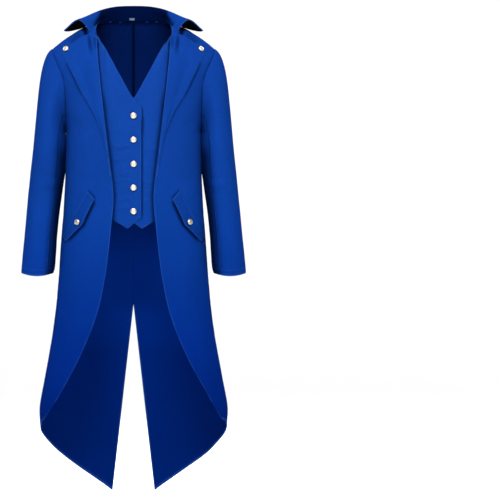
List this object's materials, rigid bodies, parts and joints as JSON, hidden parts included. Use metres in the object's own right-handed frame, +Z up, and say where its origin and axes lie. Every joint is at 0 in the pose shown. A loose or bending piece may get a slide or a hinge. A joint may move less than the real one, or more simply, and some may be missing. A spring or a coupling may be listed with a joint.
{
  "type": "tailcoat",
  "caption": "Long costume tailcoat in blue cloth, filled out: mock waistcoat, buttoned-back lapels, wing collar, long sleeves, slanted flaps, half belt and two slit tails.",
  "frame": {"origin": "between the shoulders at the height of the collar's front ends, where the wearer holds it", "axes": "+Z up, the front faces -Y, +X is the wearer's left"},
  "size_m": [0.6164, 0.2954, 1.3537],
  "materials": {
    "coat_cloth": "royal blue twill",
    "waistcoat_cloth": "royal blue twill",
    "under_collar_cloth": "black felt",
    "label_cloth": "plain white woven tape",
    "button": "pale gold, polished"
  },
  "bodies": {
    "root": {"back_left": "coat_cloth", "back_right": "coat_cloth", "button_belt_left": "button", "button_belt_right": "button", "button_cuff_left_1": "button", "button_cuff_left_2": "button", "button_cuff_left_3": "button", "button_cuff_right_1": "button", "button_cuff_right_2": "button", "button_cuff_right_3": "button", "button_flap_left": "button", "button_flap_right": "button", "button_lapel_left": "button", "button_lapel_right": "button", "button_vest_1": "button", "button_vest_2": "button", "button_vest_3": "button", "button_vest_4": "button", "button_vest_5": "button", "collar": "coat_cloth", "collar_under_leaf": "under_collar_cloth", "front_left": "coat_cloth", "front_right": "coat_cloth", "half_belt": "coat_cloth", "lapel_left": "coat_cloth", "lapel_right": "coat_cloth", "neck_label": "label_cloth", "pocket_flap_left": "coat_cloth", "pocket_flap_right": "coat_cloth", "sleeve_under_left": "coat_cloth", "sleeve_under_right": "coat_cloth", "sleeve_upper_left": "coat_cloth", "sleeve_upper_right": "coat_cloth", "vest_left": "waistcoat_cloth", "vest_right": "waistcoat_cloth"}
  },
  "joints": []
}
